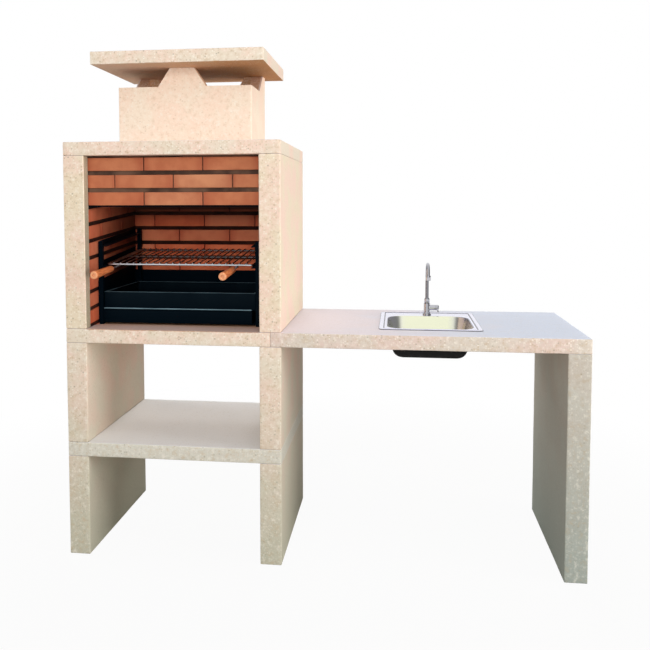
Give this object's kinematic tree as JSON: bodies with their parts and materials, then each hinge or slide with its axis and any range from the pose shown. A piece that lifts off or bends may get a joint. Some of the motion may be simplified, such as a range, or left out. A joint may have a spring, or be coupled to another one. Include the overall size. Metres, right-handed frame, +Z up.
{
  "type": "garden barbecue with worktop",
  "caption": "Cast concrete garden barbecue: brick-lined firebox with chimney, sliding wire grill, charcoal tray and ash drawer, shelf below, and a side worktop with a sink and swan-neck tap.",
  "frame": {"origin": "on the ground, under the middle of the box round the legs, slabs and grill handles", "axes": "+X along the worktop, from the firebox to the table leg; +Y from the front to the back; +Z up"},
  "size_m": [1.862, 0.749, 1.87],
  "materials": {
    "cast_concrete": "matt cast concrete with fine aggregate, cream to pink",
    "fire_brick": "matt orange-red fired clay",
    "refractory_mortar": "dark smoked mortar",
    "black_steel": "satin black stove paint",
    "zinc_plated_wire": "bright zinc-plated wire",
    "turned_beech": "varnished orange-brown wood",
    "stainless_sheet": "satin stainless steel",
    "black_rubber": "matt black",
    "white_plastic": "matt white",
    "chromed_brass": "polished chrome",
    "bare_brass": "turned brass"
  },
  "bodies": {
    "masonry": {"lower_left_leg": "cast_concrete", "lower_middle_leg": "cast_concrete", "table_leg": "cast_concrete", "shelf_slab": "cast_concrete", "upper_left_leg": "cast_concrete", "upper_middle_leg": "cast_concrete", "hearth_slab": "cast_concrete", "worktop_slab": "cast_concrete", "firebox_left_wall": "cast_concrete", "firebox_right_wall": "cast_concrete", "firebox_back_wall": "cast_concrete", "firebox_roof_slab": "cast_concrete", "chimney_shell": "cast_concrete", "chimney_cap": "cast_concrete", "left_lining_bricks": "fire_brick", "right_lining_bricks": "fire_brick", "back_lining_bricks": "fire_brick", "lintel_bricks": "fire_brick", "left_lining_mortar": "refractory_mortar", "right_lining_mortar": "refractory_mortar", "back_lining_mortar": "refractory_mortar", "lintel_mortar": "refractory_mortar", "lintel_angle": "black_steel", "left_rack": "black_steel", "right_rack": "black_steel", "left_side_plate": "black_steel", "right_side_plate": "black_steel", "fire_back_plate": "black_steel", "charcoal_tray": "black_steel", "charcoal_grate": "black_steel", "sink_bowl": "stainless_sheet", "sink_seal": "black_rubber", "sink_clips": "stainless_sheet", "waste_cup": "stainless_sheet", "waste_nut": "white_plastic", "tap_body": "chromed_brass", "tap_nut": "bare_brass", "tap_collar": "chromed_brass"},
    "grill": {"grill_grid": "zinc_plated_wire", "left_handle": "turned_beech", "right_handle": "turned_beech"},
    "drawer": {"ash_drawer": "black_steel"},
    "spout": {"tap_neck": "chromed_brass", "tap_aerator": "chromed_brass"},
    "lever": {"tap_lever": "chromed_brass"},
    "strainer": {"sink_strainer": "stainless_sheet"}
  },
  "joints": [
    {"name": "grill_slide", "type": "slide", "parent": "masonry", "child": "grill", "axis": [0, -0.9962, -0.0872], "range_m": [0, 0.25]},
    {"name": "drawer_slide", "type": "slide", "parent": "masonry", "child": "drawer", "axis": [0, -1, 0], "range_m": [0, 0.3]},
    {"name": "spout_swivel", "type": "hinge", "parent": "masonry", "child": "spout", "pos_m": [0.398, 0.22849, 0.96], "axis": [0, 0, 1], "range_deg": [-110, 110]},
    {"name": "lever_tilt", "type": "hinge", "parent": "masonry", "child": "lever", "pos_m": [0.44, 0.22849, 0.8802], "axis": [1, 0, 0], "range_deg": [-75, 0]},
    {"name": "strainer_lift", "type": "slide", "parent": "masonry", "child": "strainer", "axis": [0, 0, 1], "range_m": [0, 0.12]}
  ]
}
